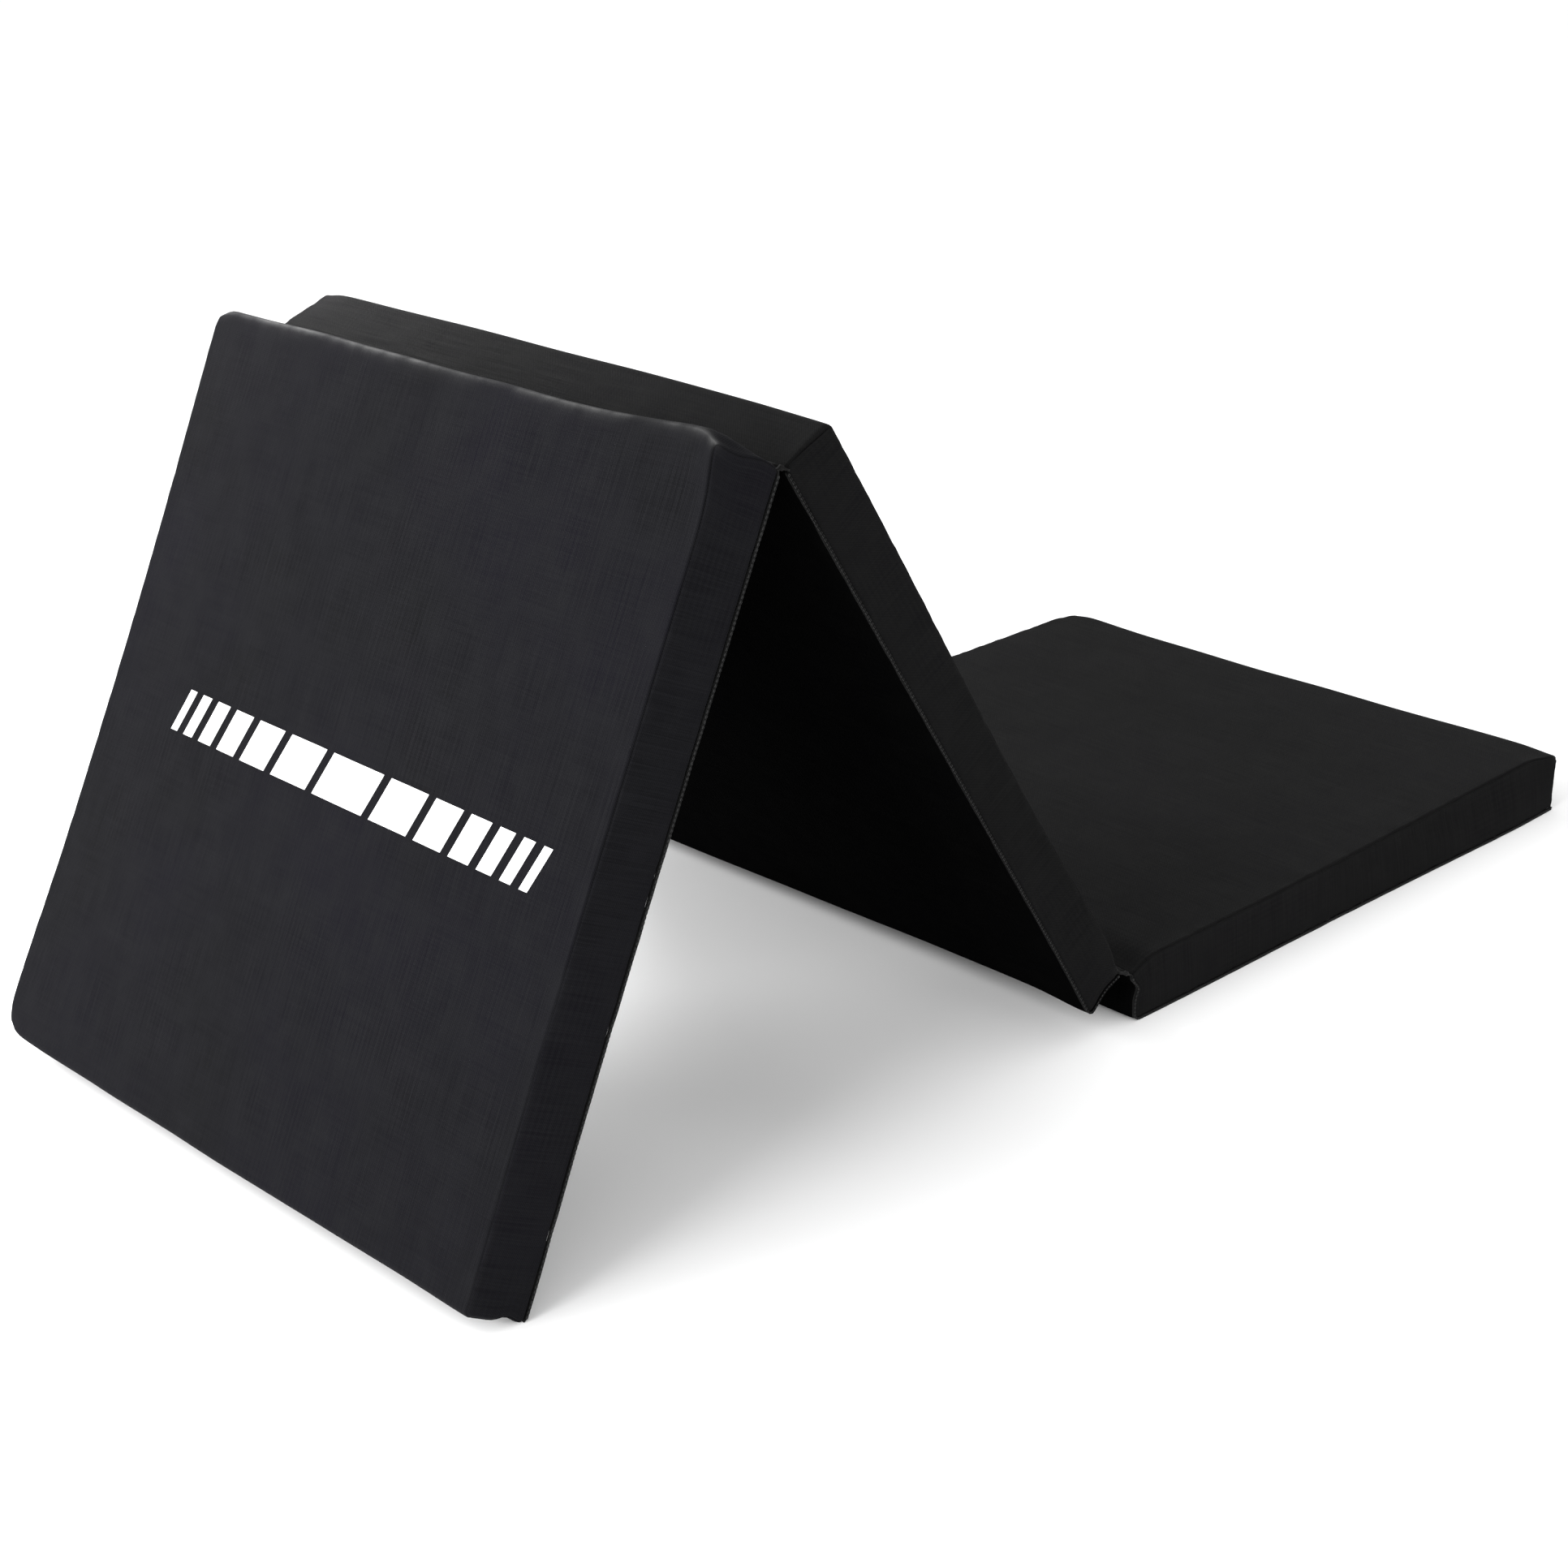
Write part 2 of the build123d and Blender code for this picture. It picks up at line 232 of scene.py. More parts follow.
# ---- The cover's surface ----
def outline(section, u, w):
    """Rounds the corners of the side view. Gives the moved points, their depth under the outline
    and the outward direction there."""
    u_out, w_out = u.copy(), w.copy()
    depths = np.stack([HALF - u, HALF + u, THICK - w, w])
    depth = depths.min(axis=0)
    nearest = depths.argmin(axis=0)
    normal_u = np.select([nearest == 0, nearest == 1], [1.0, -1.0], 0.0)
    normal_w = np.select([nearest == 2, nearest == 3], [1.0, -1.0], 0.0)
    for end in (-1, 1):
        for side in (BACK, FACE):
            seam = section.seams[0 if end < 0 else 1] == side
            radius = SEAM_RADIUS if seam else WRAP_RADIUS
            outward = 1 if side == FACE else -1
            centre_u = end * (HALF - radius)
            centre_w = THICK * side - outward * radius
            a = (u - centre_u) * end / radius
            b = (w - centre_w) * outward / radius
            inside = (a > 0) & (b > 0)
            a, b = np.clip(a, 0, 1), np.clip(b, 0, 1)
            x, y = a * np.sqrt(1 - b * b / 2), b * np.sqrt(1 - a * a / 2)
            far = np.hypot(x, y)
            safe = np.maximum(far, 1e-9)
            u_out = np.where(inside, centre_u + end * radius * x, u_out)
            w_out = np.where(inside, centre_w + outward * radius * y, w_out)
            depth = np.where(inside, radius * (1 - far), depth)
            normal_u = np.where(inside, end * x / safe, normal_u)
            normal_w = np.where(inside, outward * y / safe, normal_w)
    return u_out, w_out, depth, normal_u, normal_w


def surface(section, box, side_radius=SIDE_RADIUS, puffed=True):
    """Where points of the sharp box of a section go on its soft cover, and the normals there."""
    u, v, w = box.T
    u_out, w_out, depth, normal_u, normal_w = outline(section, u, w)
    inset = WALL - np.abs(v)
    on_sheet = np.clip(inset / max(side_radius, 1e-6), 0, 1)
    on_wall = np.clip(depth / max(side_radius, 1e-6), 0, 1)
    turn = math.pi / 4 * (1 - on_sheet + on_wall)
    sunk = side_radius * (1 - np.cos(turn))
    shift = np.where(on_wall < 1, sunk - depth, 0.0)
    v_out = np.where(on_sheet < 1, WALL - side_radius * (1 - np.sin(turn)), np.abs(v))
    normal = np.stack([normal_u * np.cos(turn), np.sign(v) * np.sin(turn), normal_w * np.cos(turn)], axis=1)
    place = np.stack([u_out - normal_u * shift, np.sign(v) * v_out, w_out - normal_w * shift], axis=1)
    place += normal * relief(section, box, inset, depth, puffed)[:, None]
    for end, wall, radius in section.corners:
        place[:, :2] += round_corner(u * end, v * wall, radius) * (end, wall)
    calm = zip_calm(box)[:, None]
    for pull in section.pulls:
        place += pull.shift(box) * calm
    return settle(section, place), normal


def round_corner(u, v, radius):
    """How far points near the corner at (HALF, WALL) move to make it round in plan."""
    a, b = np.clip((u - HALF) / radius + 1, 0, 1), np.clip((v - WALL) / radius + 1, 0, 1)
    return np.stack([a * (np.sqrt(1 - b * b / 2) - 1), b * (np.sqrt(1 - a * a / 2) - 1)], axis=1) * radius


def settle(section, place):
    """Keeps a section's points out of the floor."""
    under = np.minimum(section.world(place)[:, 2], 0)
    return place - under[:, None] * np.array([section.x[2], 0, section.z[2]])


def relief(section, box, inset, depth, puffed):
    """How far the cloth stands out of the plain form: swollen faces, grooves at the turned seams
    and the puckers beside them."""
    u, v, w = box.T
    to_seam = np.where(inset > 0, inset, depth)
    quiet = zip_calm(box)
    height = section.puff(box) * quiet if section.puff and puffed else np.zeros(len(box))
    height += 0.35 * MM * swell(u + 2 * w, v, section.seed, 0.34, 0.11) * quiet * np.tanh(to_seam / (12 * MM))
    beside = np.exp(-to_seam / (7 * MM)) * (1 - np.exp(-to_seam / (1.6 * MM)))
    on_face = np.where(inset > 0, 0.0, 0.31)
    wrinkles = ripple(u + 3 * w + on_face, section.seed + 11, 46 * MM, 13 * MM)
    wrinkles = np.where(v < 0, wrinkles, ripple(u + 3 * w + on_face, section.seed + 12, 46 * MM, 13 * MM))
    height += 2.0 * section.pucker * beside * wrinkles
    from_end = np.exp(-(((HALF + u) / (14 * MM)) ** 2))
    open_seam = 1 + section.gape * from_end * np.clip((w - 8 * MM) / (30 * MM), 0, 1)
    depth = GROOVE_DEPTH * open_seam
    if section.groove_fade is not None:
        faded = smooth_step(u, section.groove_fade, section.groove_fade - 190 * MM) * (w > THICK / 2)
        depth *= 1 - 0.75 * faded
    height -= depth * np.exp(-((to_seam / (GROOVE_WIDTH * np.sqrt(open_seam))) ** 2))
    return height


def zip_calm(box):
    """Zero on the flat strip of the far wall that the zip is sewn to, one well away from it."""
    u, v, w = box.T
    above_or_below = smooth_step(np.abs(w - THICK / 2), 14.5 * MM, 21 * MM)
    past_the_end = smooth_step(np.abs(u), ZIP_HALF + 5 * MM, HALF - 2 * MM)
    return np.where(v > WALL - 1e-6, np.maximum(above_or_below, past_the_end), 1.0)


# ---- Cloth simulation: how the foam swells each cover between its seams ----
def box_mesh(us, vs, ws):
    """A closed box of quads: its points, faces, and the index of each grid place."""
    index, points, faces = {}, [], []

    def at(i, j, k):
        key = (i, j, k)
        if key not in index:
            index[key] = len(points)
            points.append((us[i], vs[j], ws[k]))
        return index[key]

    nu, nv, nw = len(us) - 1, len(vs) - 1, len(ws) - 1
    for i in range(nu):
        for j in range(nv):
            faces.append((at(i, j, 0), at(i, j + 1, 0), at(i + 1, j + 1, 0), at(i + 1, j, 0)))
            faces.append((at(i, j, nw), at(i + 1, j, nw), at(i + 1, j + 1, nw), at(i, j + 1, nw)))
    for i in range(nu):
        for k in range(nw):
            faces.append((at(i, 0, k), at(i + 1, 0, k), at(i + 1, 0, k + 1), at(i, 0, k + 1)))
            faces.append((at(i, nv, k), at(i, nv, k + 1), at(i + 1, nv, k + 1), at(i + 1, nv, k)))
    for j in range(nv):
        for k in range(nw):
            faces.append((at(0, j, k), at(0, j, k + 1), at(0, j + 1, k + 1), at(0, j + 1, k)))
            faces.append((at(nu, j, k), at(nu, j + 1, k), at(nu, j + 1, k + 1), at(nu, j, k + 1)))
    return np.array(points), faces, index


class Puff:
    """How far a simulated cover stands out of its box, as a smooth function over the box."""

    def __init__(self, us, vs, ws, heights):
        self.axes = (us, vs, ws)
        self.heights = heights  # (axis, last end or not): a grid over the other two axes

    def __call__(self, box):
        result = np.zeros(len(box))
        for (axis, last), grid in self.heights.items():
            limit = self.axes[axis][-1 if last else 0]
            here = np.abs(box[:, axis] - limit) < 1e-7
            others = [other for other in range(3) if other != axis]
            places = [np.interp(box[here, o], self.axes[o], np.arange(len(self.axes[o]))) for o in others]
            cells = [np.minimum(p.astype(int), grid.shape[n] - 2) for n, p in enumerate(places)]
            a, b = places[0] - cells[0], places[1] - cells[1]
            i, j = cells
            result[here] = (
                grid[i, j] * (1 - a) * (1 - b)
                + grid[i + 1, j] * a * (1 - b)
                + grid[i, j + 1] * (1 - a) * b
                + grid[i + 1, j + 1] * a * b
            )
        return result


def simulate_puff(section):
    """Blows a loose cover up over its foam, held along its seams, and reads off the result."""
    us = np.linspace(-HALF, HALF, 55)
    vs = np.linspace(-WALL, WALL, 55)
    ws = np.linspace(0, THICK, 6)
    points, faces, index = box_mesh(us, vs, ws)
    mesh = bpy.data.meshes.new("puff")
    mesh.from_pydata(points.tolist(), [], faces)
    cover = bpy.data.objects.new("puff", mesh)
    scene.collection.objects.link(cover)
    seams = cover.vertex_groups.new(name="seams")
    seams.add(np.flatnonzero(edge_count(points) >= 2).tolist(), 1.0, "REPLACE")
    cloth = cover.modifiers.new("cloth", "CLOTH")
    settings = cloth.settings
    settings.vertex_group_mass = seams.name
    settings.use_pressure = True
    settings.uniform_pressure_force = 0.5 + 0.1 * section.seed
    settings.tension_stiffness = settings.compression_stiffness = 15
    settings.shear_stiffness = 5
    settings.bending_stiffness = 5
    settings.shrink_min = -0.003
    settings.mass = 0.3
    settings.effector_weights.gravity = 0
    cloth.collision_settings.use_collision = False
    for number in range(PUFF_FRAMES):
        scene.frame_set(number + 1)
    settled = cover.evaluated_get(bpy.context.evaluated_depsgraph_get())
    moved = np.zeros(len(points) * 3, np.float32)
    settled.data.vertices.foreach_get("co", moved)
    shift = moved.reshape(-1, 3) - points
    scene.frame_set(1)
    bpy.data.objects.remove(cover)
    heights = {}
    axes = (us, vs, ws)
    for axis in range(3):
        others = [axes[o] for o in range(3) if o != axis]
        for last in (False, True):
            grid = np.zeros((len(others[0]), len(others[1])))
            for i in range(len(others[0])):
                for j in range(len(others[1])):
                    key = [i, j]
                    key.insert(axis, len(axes[axis]) - 1 if last else 0)
                    grid[i, j] = shift[index[tuple(key)], axis] * (1 if last else -1)
            heights[axis, last] = PUFF_LIMIT * np.tanh(np.maximum(grid, -1 * MM) / (10 * MM))
    return Puff(us, vs, ws, heights)


def edge_count(points):
    """On how many of the box's faces each point lies."""
    sides = np.abs(points[:, 0]) > HALF - 1e-6
    sides = sides.astype(int) + (np.abs(points[:, 1]) > WALL - 1e-6)
    return sides + ((points[:, 2] < 1e-6) | (points[:, 2] > THICK - 1e-6))


# ---- Meshes ----
def add_object(name, points, faces, material, uvs=None, body=None, wear=None):
    mesh = bpy.data.meshes.new(name)
    mesh.from_pydata([tuple(p) for p in points], [], faces)
    if uvs is not None:
        layer = mesh.uv_layers.new(name="cloth")
        corners = np.zeros(len(mesh.loops), int)
        mesh.loops.foreach_get("vertex_index", corners)
        layer.data.foreach_set("uv", np.asarray(uvs, np.float32)[corners].ravel())
    if wear is not None:
        mesh.attributes.new("wear", "FLOAT", "POINT").data.foreach_set("value", wear.astype(np.float32))
    mesh.materials.append(material)
    mesh.polygons.foreach_set("use_smooth", [True] * len(mesh.polygons))
    mesh.update()
    made = bpy.data.objects.new(name, mesh)
    scene.collection.objects.link(made)
    if body:
        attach(made, body)
    return made


def grid_faces(rows, columns, skip=None):
    faces = []
    for i in range(rows - 1):
        for j in range(columns - 1):
            if skip is None or not skip(i, j):
                a, b = i * columns + j, (i + 1) * columns + j
                faces.append((a, a + 1, b + 1, b))
    return faces


def outward(points, faces, normals):
    """Turns the faces of a sheet over if they look inwards."""
    a, b, d = (points[[face[n] for face in faces]] for n in (0, 1, 3))
    looks = (np.cross(b - a, d - a) * normals[[face[0] for face in faces]]).sum()
    return faces if looks > 0 else [tuple(reversed(face)) for face in faces]


def graded(low, high, step=GRID_STEP, extra=()):
    """Places from low to high, close together near both ends, where the seams are."""
    reach = EDGE_STEPS[-1]
    count = max(3, round((high - low - 2 * reach) / step) + 1)
    places = np.concatenate(
        [low + EDGE_STEPS[:-1], np.linspace(low + reach, high - reach, count), high - EDGE_STEPS[:-1], extra]
    )
    return np.unique(np.round(places, 7))


us = graded(-HALF, HALF, extra=(-ZIP_HALF, ZIP_HALF))
vs = graded(-WALL, WALL)
ws = graded(0, THICK, 4 * MM, extra=(THICK / 2 - ZIP_WINDOW, THICK / 2 + ZIP_WINDOW))


def distances(points):
    """How far along a line of points in a plane each of them is."""
    return np.concatenate([[0], np.cumsum(np.hypot(*np.diff(points, axis=0).T))])


def sheet_path(section, side):
    """The side view's points that a sheet runs along, and how far along it each is."""
    corners = section.corner_path(side)
    path = [(corners[0][0] * HALF, corners[0][1] * THICK)]
    for (end_a, side_a), (end_b, side_b) in zip(corners, corners[1:]):
        if side_a == side_b:
            leg = [(u, side_a * THICK) for u in (us if end_b > end_a else us[::-1])]
        else:
            leg = [(end_a * HALF, w) for w in (ws if side_b > side_a else ws[::-1])]
        path += leg[1:]
    path = np.array(path)
    return path, distances(path)


def edge_wear_and_highlight(section, box):
    """One at the rounded edges of a section, falling to nothing: wear where the cloth rubs, and at the wrap
    edge of the +u end a painted highlight as well.
    """
    u, v, w = box.T
    edge_u, edge_w = HALF - np.abs(u), np.minimum(w, THICK - w)
    from_wrap = np.maximum(edge_u, THICK - w)
    from_seam = np.maximum(np.minimum(edge_u, edge_w), WALL - np.abs(v))
    return np.exp(-from_wrap / (2.6 * MM)) * (u > 0) + 0.03 * np.exp(-from_seam / (4 * MM))


def thicken(piece):
    solid = piece.modifiers.new("cloth thickness", "SOLIDIFY")
    solid.thickness = CLOTH
    solid.offset = -1
    solid.use_rim = True
    return piece


def make_panel(section, name, box, faces, uvs, material):
    """A piece of cover cloth over part of a section's box, in the place of a CAD node."""
    place, normal = surface(section, box)
    points = section.world(place)
    faces = outward(points, faces, section.direction(normal))
    piece = add_object(f"{name}_cloth", points, faces, material, uvs, section.name, edge_wear_and_highlight(section, box))
    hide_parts(name)
    return piece


def make_sheet(section, side, material):
    path, along = sheet_path(section, side)
    box = np.array([(u, v, w) for u, w in path for v in vs])
    uvs = np.array([(s, v) for s in along for v in vs])
    name = f"{section.name}_{'face' if side == FACE else 'back'}_sheet"
    piece = make_panel(section, name, box, grid_faces(len(path), len(vs)), uvs, material)
    thicken(piece)


def make_gusset(section, wall, material):
    box = np.array([(u, wall * WALL, w) for u in us for w in ws])

    def in_window(i, j):
        u, w = (us[i] + us[i + 1]) / 2, (ws[j] + ws[j + 1]) / 2
        return abs(u) < ZIP_HALF and abs(w - THICK / 2) < ZIP_WINDOW

    faces = grid_faces(len(us), len(ws), in_window if wall == FAR else None)
    name = f"{section.name}_{WALL_NAMES[wall]}_gusset"
    piece = make_panel(section, name, box, faces, box[:, [0, 2]], material)
    drop_loose(piece)
    thicken(piece)


def drop_loose(piece):
    """Removes points that no face uses."""
    work = bmesh.new()
    work.from_mesh(piece.data)
    bmesh.ops.delete(work, geom=[vert for vert in work.verts if not vert.link_faces], context="VERTS")
    work.to_mesh(piece.data)
    work.free()


def make_foam(section, material):
    """The foam block, just inside the cover."""
    points, faces, _ = box_mesh(us[::3], vs[::3], ws[::2])
    place, normal = surface(section, points)
    place = place - normal * FOAM_GAP
    place[:, 0] *= 1 - 3 * MM / HALF
    place[:, 1] = np.clip(place[:, 1], 4.2 * MM - WALL, WALL - 4.2 * MM)
    place = section.world(place)
    piece = add_object(f"{section.name}_foam_block", place, faces, material, None, section.name)
    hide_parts(f"{section.name}_foam_core")


# ---- Bound seams ----
def sweep(name, rings, material, uvs_across, uvs_along, wear=None):
    """A tube through rings of points, with its ends closed."""
    rows, columns = rings.shape[:2]
    points = rings.reshape(-1, 3)
    faces = []
    for i in range(rows - 1):
        for j in range(columns):
            k = (j + 1) % columns
            a, b = i * columns, (i + 1) * columns
            faces.append((a + j, a + k, b + k, b + j))
    faces.append(tuple(range(columns - 1, -1, -1)))
    faces.append(tuple((rows - 1) * columns + j for j in range(columns)))
    uvs = np.array([(s, t) for s in uvs_along for t in uvs_across])
    wear = np.ones(len(points)) if wear is None else wear
    return add_object(name, points, faces, material, uvs, None, wear)


def fix_normals(piece):
    """Turns all faces of a closed piece outwards."""
    work = bmesh.new()
    work.from_mesh(piece.data)
    bmesh.ops.recalc_face_normals(work, faces=work.faces)
    work.to_mesh(piece.data)
    work.free()


BINDING_THICK = 0.95 * MM
TAPE_REACH = BINDING_REACH * 0.62  # how far the tape stands out of the wall where it is flat
TAPE_RUB_AND_SHADE = {"front": 1.0, "middle": 0.35, "rear": 1.0}  # how light each section's tape is rubbed; the middle's is kept low as painted shade


def binding_section(count=7):
    """The bound edge cut across: out from the seam (first number) and into the section from the
    back's surface (second number), round at its outer edge."""
    half = BINDING_THICK / 2
    reach = TAPE_REACH - half
    turns = np.linspace(math.pi / 2, -math.pi / 2, count)
    nose = [(reach + half * math.cos(t), -half + half * math.sin(t)) for t in turns]
    root = -1.8 * MM
    return np.array([(root, 0.0), *nose, (root, -BINDING_THICK)])


def seam_frame(section, wall, step=4 * MM):
    """Points along the back sheet's seam at a side wall, with the outward directions there."""
    path, along = sheet_path(section, BACK)
    stops = np.arange(0, along[-1] + step / 2, step)
    stops[-1] = along[-1]
    u, w = np.interp(stops, along, path[:, 0]), np.interp(stops, along, path[:, 1])
    box = np.stack([u, np.full(len(u), wall * WALL), w], axis=1)
    _, _, _, normal_u, normal_w = outline(section, u, w)
    place, _ = surface(section, box, 0.0, puffed=False)
    normal = np.stack([normal_u, np.zeros(len(u)), normal_w], axis=1)
    return stops, place + normal * GROOVE_DEPTH * 0.7 + np.array([0, wall, 0]) * GROOVE_DEPTH * 0.7, normal


def make_binding(section, wall, material, thread):
    """The tape folded over the seam of a side wall and the back sheet, a little wavy, with its
    stitches."""
    stops, base, normal = seam_frame(section, wall)
    cut = binding_section()
    draw = section.seed + (0 if wall == NEAR else 40)
    tilt = 0.10 * ripple(stops, draw, 0.11, 0.028)
    longer = 1 + 0.05 * ripple(stops, draw + 1, 0.07, 0.02)
    to_end = np.minimum(stops, stops[-1] - stops)
    longer *= 1 - 0.8 * np.exp(-((to_end / (4 * MM)) ** 2))
    from_wall = np.array([0.0, wall, 0.0])
    rings = []
    for place, out, lean, grow in zip(base, normal, tilt, longer):
        turned = from_wall * math.cos(lean) + out * math.sin(lean)
        ring = place + np.outer(np.where(cut[:, 0] > 0, cut[:, 0] * grow, cut[:, 0]), turned)
        rings.append(section.world(settle(section, ring + np.outer(cut[:, 1], out))))
    across = distances(cut)
    # Painted shade: the tape's light crowns fade out towards the floor, where the tape lies in shade; the
    # rest of the variation is wear.
    painted_floor_shade = smooth_step(section.world(base)[:, 2], 26 * MM, 6 * MM)
    rub_and_painted_shade = (0.6 + 0.3 * ripple(stops, draw + 2, 0.16, 0.04)) * (1 - 0.85 * painted_floor_shade)
    rub_and_painted_shade = np.repeat(np.maximum(rub_and_painted_shade, 0) * TAPE_RUB_AND_SHADE[section.name], len(cut))
    side = f"{section.name}_{WALL_NAMES[wall]}"
    piece = sweep(f"{side}_bound_seam", np.array(rings), material, across, stops, rub_and_painted_shade)
    fix_normals(piece)
    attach(piece, section.name)
    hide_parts(f"{side}_binding")
    seam = []
    for face_of_tape, depth in ((1, 0.0), (-1, -BINDING_THICK)):
        for start in np.arange(4 * MM, stops[-1] - 5 * MM, STITCH_PITCH):
            spots = np.interp([start, start + STITCH_LENGTH], stops, np.arange(len(stops)))
            ends = []
            for spot in spots:
                i = min(int(spot), len(stops) - 2)
                t = spot - i
                here = base[i] * (1 - t) + base[i + 1] * t
                out = normal[i] * (1 - t) + normal[i + 1] * t
                turned = from_wall * math.cos(tilt[i]) + out * math.sin(tilt[i])
                ends.append(here + turned * BINDING_REACH * 0.42 + out * depth)
            seam.append((*ends, normal[i] * face_of_tape))
    make_stitches(f"{side}_bound_seam_stitches", section, seam, thread)


# ---- Stitches ----
STITCH_PITCH, STITCH_LENGTH, THREAD_RADIUS = 3.6 * MM, 2.7 * MM, 0.28 * MM
# A stitch's rings: how far along it, how thick and how high, the last two in thread radii.
STITCH_RINGS = ((0, 0.35, -0.9), (0.12, 0.85, 0.1), (0.5, 1.0, 0.35), (0.88, 0.85, 0.1), (1, 0.35, -0.9))


def make_stitches(name, section, seam, material):
    """Short threads, each from one needle hole to the next: (start, end, outward) in the
    section's frame."""
    points, faces, sides, last = [], [], 6, len(STITCH_RINGS) - 1
    for start, end, out in seam:
        start, end = section.world(np.array([start, end]))
        out = section.direction(np.array([out]))[0]
        along = (end - start) / np.linalg.norm(end - start)
        across = np.cross(along, out)
        first = len(points)
        for share, size, rise in STITCH_RINGS:
            centre = start + (end - start) * share + out * rise * THREAD_RADIUS
            for n in range(sides):
                turn = 2 * math.pi * n / sides
                spoke = math.cos(turn) * out + math.sin(turn) * across
                points.append(centre + THREAD_RADIUS * size * spoke)
        for ring in range(last):
            for n in range(sides):
                m = (n + 1) % sides
                a, b = first + ring * sides, first + (ring + 1) * sides
                faces.append((a + n, a + m, b + m, b + n))
        faces.append(tuple(first + n for n in reversed(range(sides))))
        faces.append(tuple(first + last * sides + n for n in range(sides)))
    piece = add_object(name, points, faces, material)
    fix_normals(piece)
    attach(piece, section.name)


# ---- Fabric hinges ----
ROLL_RADIUS = 1.7 * MM
FLAP_THICK = 1.3 * MM


def hinge_cut(corner_a, corner_b, grow=1.0):
    """A hinge cut across, as a closed loop round the fold axis: a flap to each section's seam and
    a small roll where they meet. corner_a and corner_b are the seams, from the axis."""
    roll, half = ROLL_RADIUS * grow, FLAP_THICK / 2 * grow
    dir_a, dir_b = (corner / np.linalg.norm(corner) for corner in (corner_a, corner_b))
    side_a, side_b = (np.array([-direction[1], direction[0]]) for direction in (dir_a, dir_b))
    start = math.atan2(dir_a[1], dir_a[0])
    finish = math.atan2(dir_b[1], dir_b[0])
    open_angle = math.asin(min(1, half / roll)) + 0.15
    way = (finish - start) % (2 * math.pi)
    first = np.linspace(start + open_angle, start + way - open_angle, 10)
    second = np.linspace(start + way + open_angle, start + 2 * math.pi - open_angle, 10)
    points = [corner_a * share + side_a * half for share in (1.0, 0.8, 0.6)]
    points += [(roll * math.cos(t), roll * math.sin(t)) for t in first]
    points += [corner_b * share - side_b * half for share in (0.6, 0.8, 1.0)]
    points += [corner_b * share + side_b * half for share in (1.0, 0.8, 0.6)]
    points += [(roll * math.cos(t), roll * math.sin(t)) for t in second]
    points += [corner_a * share - side_a * half for share in (0.6, 0.8, 1.0)]
    return np.array(points)


def make_hinge(name, section_a, section_b, axis, low, high, grow, material, nodes, droop, rub_and_painted_shade=1.0):
    """Cloth that crosses a fold from one section's seam to the next one's. It droops at the near
    end by the given depth."""
    steps = max(3, round((high - low) / (6 * MM)) + 1)
    rings = []
    ys = np.linspace(low, high, steps)
    for y in ys:
        corners = []
        for section, end in ((section_a, 1), (section_b, -1)):
            side = section.seams[1 if end > 0 else 0]
            box = np.array([[end * HALF, np.clip(y, -WALL, WALL), side * THICK]])
            place, _ = surface(section, box, 0.0)
            sunk = np.array([[-end * 0.6, 0, (0.6 if side == BACK else -0.6)]]) * MM
            spot = section.world(place + sunk)[0] - axis
            corners.append(np.array([spot[0], spot[2]]))
        sag = np.array([0, -droop * math.exp(-(((y + WALL) / (38 * MM)) ** 2))])
        sag += 0.4 * MM * ripple(np.array([y, y + 0.2]), section_a.seed + 70, 0.09, 0.03)
        cut = hinge_cut(corners[0] - sag, corners[1] - sag, grow) + sag
        ring = np.stack([cut[:, 0], np.full(len(cut), y), cut[:, 1]], axis=1)
        rings.append(ring + axis * np.array([1, 0, 1]))
    rings = np.array(rings)
    across = np.concatenate([[0], np.cumsum(np.linalg.norm(np.diff(rings[0], axis=0), axis=1))])
    piece = sweep(name, rings, material, across, ys, np.full(rings.shape[0] * rings.shape[1], rub_and_painted_shade))
    fix_normals(piece)
    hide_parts(*nodes)
    seam_a = section_a.world(np.array([[HALF, 0, section_a.seams[1] * THICK]]))[0] - axis
    seam_b = section_b.world(np.array([[-HALF, 0, section_b.seams[0] * THICK]]))[0] - axis
    span = (seam_b / np.linalg.norm(seam_b) - seam_a / np.linalg.norm(seam_a)) * np.array([1, 0, 1])
    span = span / np.linalg.norm(span) * ROLL_RADIUS * grow * 1.1
    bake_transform(piece)


# ---- Zips ----
def make_coil(section, material):
    """The two rows of nylon coil: a helix on each tape, whose loops meet in the middle."""
    length, pitch, turn_points, sides, radius = 530 * MM, 2.0 * MM, 10, 5, 0.33 * MM
    loops = int(length / pitch)
    t = np.arange(loops * turn_points + 1) / turn_points
    for row in (-1, 1):
        angle = 2 * np.pi * t
        u = -length / 2 + t * pitch + (0.25 * pitch if row > 0 else 0)
        across = row * (1.65 * MM + 1.0 * MM * np.cos(angle) * np.where(np.cos(angle) < 0, 1.0, 0.9))
        out = -0.25 * MM + 0.55 * MM * np.sin(angle)
        line = np.stack([u, WALL + out, THICK / 2 + across], axis=1)
        tangent = np.gradient(line, axis=0)
        tangent /= np.linalg.norm(tangent, axis=1)[:, None]
        first = np.cross(tangent, [1.0, 0, 0])
        first /= np.maximum(np.linalg.norm(first, axis=1)[:, None], 1e-9)
        second = np.cross(tangent, first)
        turns = [2 * math.pi * n / sides for n in range(sides)]
        rings = [line + radius * (math.cos(a) * first + math.sin(a) * second) for a in turns]
        rings = np.stack(rings, axis=1)
        flat = section.world(rings.reshape(-1, 3)).reshape(rings.shape)
        which = "upper" if row > 0 else "lower"
        piece = sweep(
            f"{section.name}_zip_coil_{which}", flat, material, np.arange(sides) * MM, np.arange(len(t)) * MM
        )
        fix_normals(piece)
        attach(piece, section.name)
        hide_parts(f"{section.name}_zip_coil")


